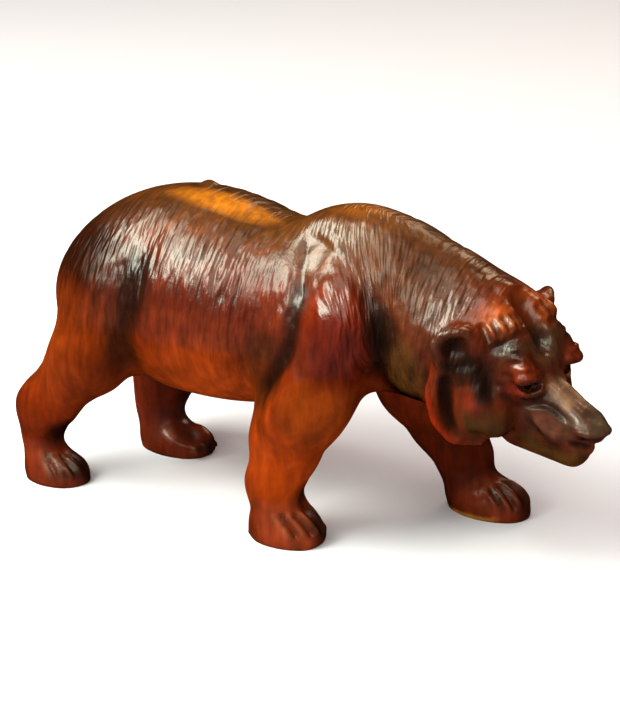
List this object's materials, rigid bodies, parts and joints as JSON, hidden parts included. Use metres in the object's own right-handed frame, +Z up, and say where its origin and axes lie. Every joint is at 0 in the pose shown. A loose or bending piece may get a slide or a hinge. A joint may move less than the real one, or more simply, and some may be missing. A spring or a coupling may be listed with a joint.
{
  "type": "bear figure",
  "caption": "Walking bear figure in burnished moulded leather, head low and turned aside, with amber glass eyes, standing on its own flat soles.",
  "frame": {"origin": "on the floor under the middle of the figure's length and width", "axes": "+X the way the bear walks, +Y its left side, +Z up"},
  "size_m": [0.3802, 0.1436, 0.1982],
  "materials": {
    "leather": "burnished and waxed, red-brown with darker folds",
    "eye_glass": "polished, opaque amber"
  },
  "bodies": {
    "root": {"bear": "leather", "eye_right": "eye_glass", "eye_left": "eye_glass"}
  },
  "joints": []
}
